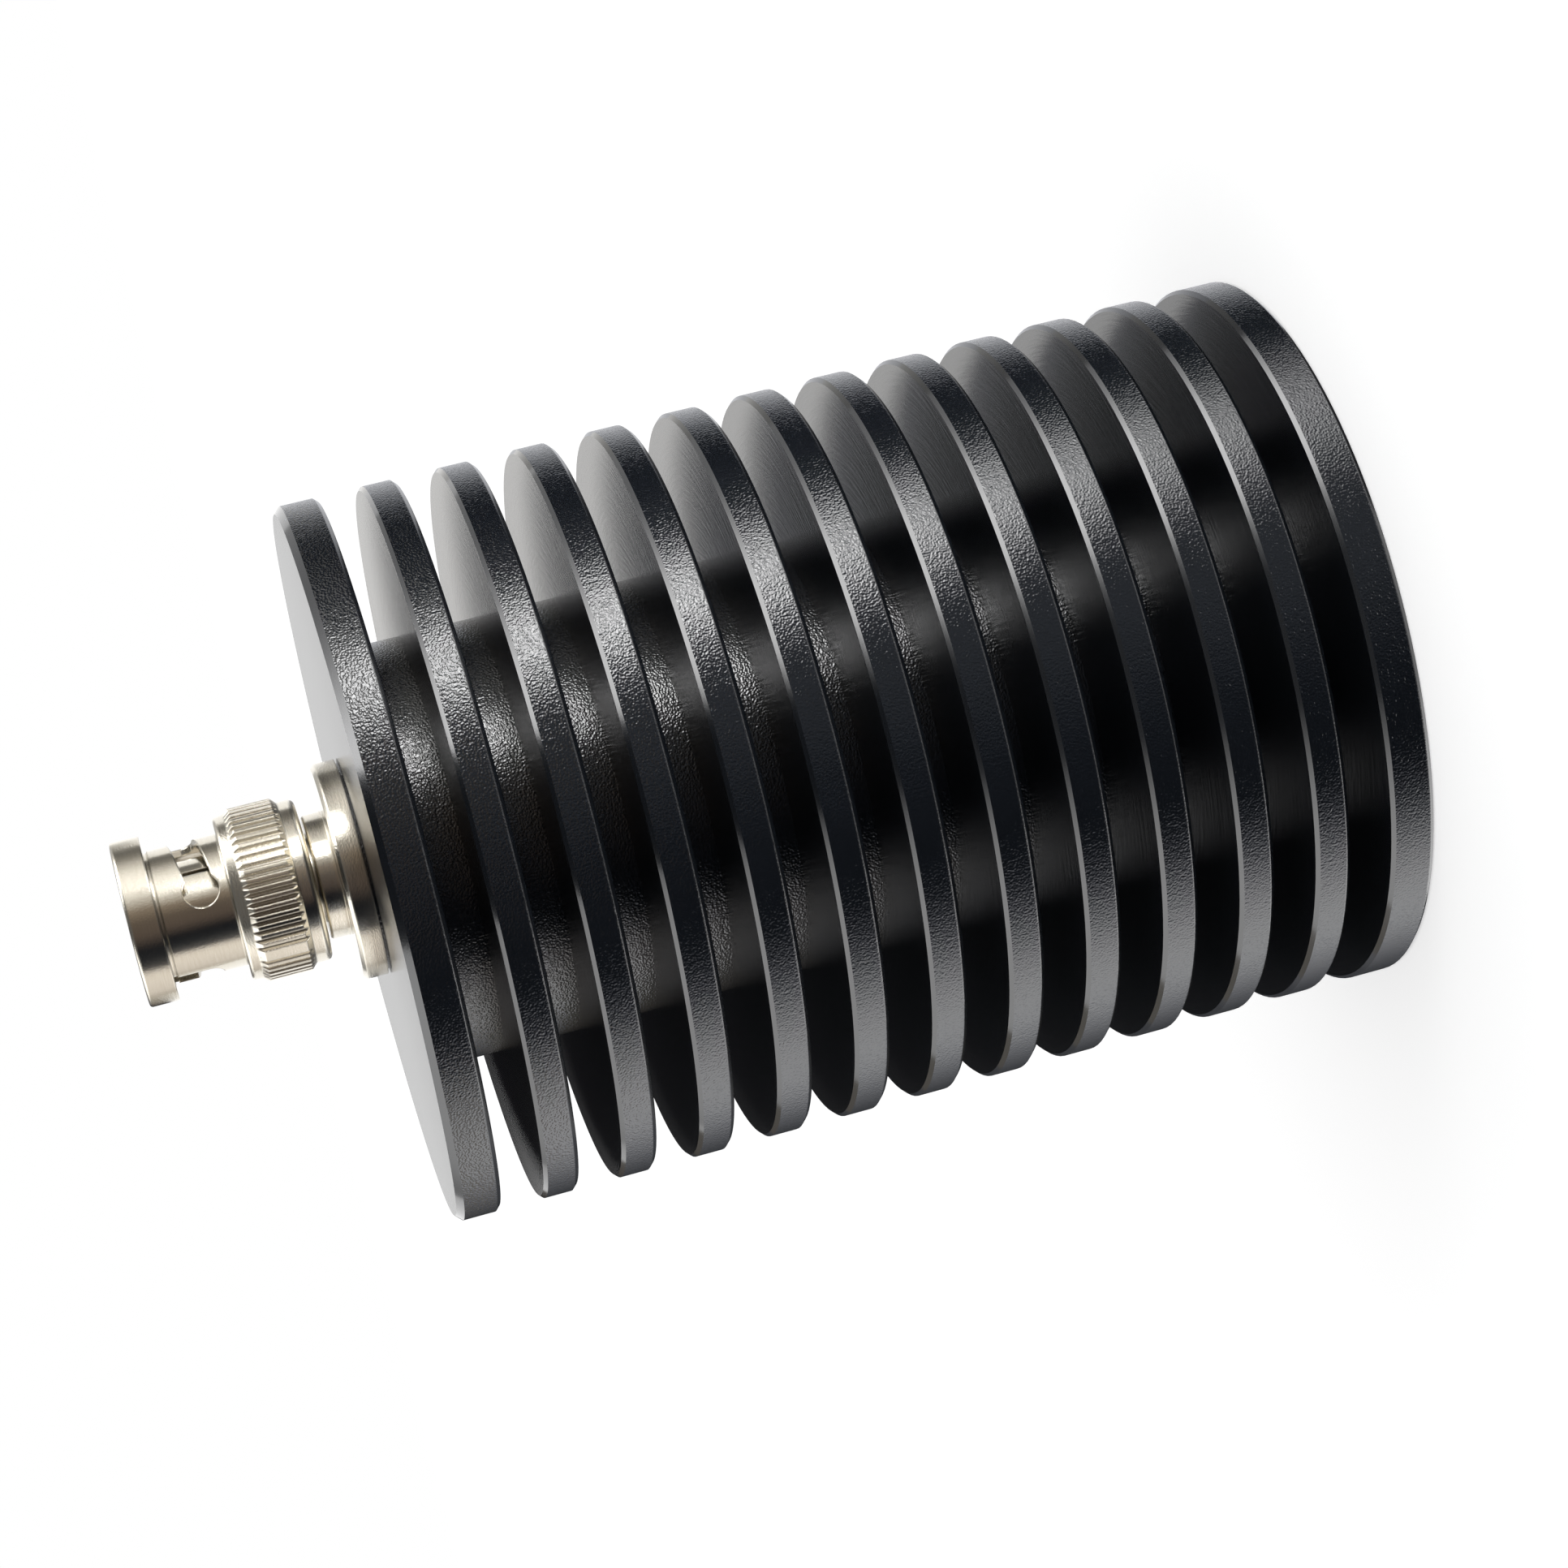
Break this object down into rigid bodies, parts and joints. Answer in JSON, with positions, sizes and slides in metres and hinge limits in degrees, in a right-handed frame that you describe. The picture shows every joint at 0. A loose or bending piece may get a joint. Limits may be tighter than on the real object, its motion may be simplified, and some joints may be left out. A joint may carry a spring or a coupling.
{
  "type": "coaxial dummy load",
  "caption": "Round dummy load: a black finned heatsink turned from one bar, with a bayonet coaxial plug on its front end and a film resistor inside that turns radio power into heat",
  "frame": {"origin": "centre of the flat rear end that the load stands on", "axes": "+Z along the axis, out through the plug; +X and +Y across; the camera side of the picture is -Y"},
  "size_m": [0.06, 0.06, 0.1005],
  "materials": {
    "black_anodised_aluminium": "turned, fine blasted rims, black anodised",
    "nickel_plated_brass": "turned and bright nickel plated",
    "spring_steel": "plain",
    "silicone": "moulded",
    "ptfe": "turned",
    "gold_plated_brass": "gold plated",
    "copper": "milled",
    "ceramic": "fired",
    "silver_plated_copper": "rolled strip"
  },
  "bodies": {
    "load": {"heatsink": "black_anodised_aluminium", "plug_body": "nickel_plated_brass", "wave_washer": "spring_steel", "retaining_ring": "spring_steel", "gasket": "silicone", "outer_contact": "nickel_plated_brass", "front_insulator": "ptfe", "rear_insulator": "ptfe", "centre_pin": "gold_plated_brass", "resistor_carrier": "copper", "carrier_screw_1": "spring_steel", "carrier_screw_2": "spring_steel", "resistor_chip": "ceramic", "resistor_cover": "ceramic", "resistor_tab": "silver_plated_copper"},
    "thrust_washer": {"flat_washer": "spring_steel"},
    "coupling": {"coupling_nut": "nickel_plated_brass"}
  },
  "joints": [
    {"name": "coupling_travel", "type": "slide", "parent": "load", "child": "thrust_washer", "axis": [0, 0, 1], "range_m": [0, 0.0005], "stiffness_N_per_m": 8000, "springref_m": -0.0005, "deforming": ["wave_washer"]},
    {"name": "coupling_turn", "type": "hinge", "parent": "thrust_washer", "child": "coupling", "pos_m": [0, 0, 0.0853], "axis": [0, 0, 1], "continuous": true}
  ]
}
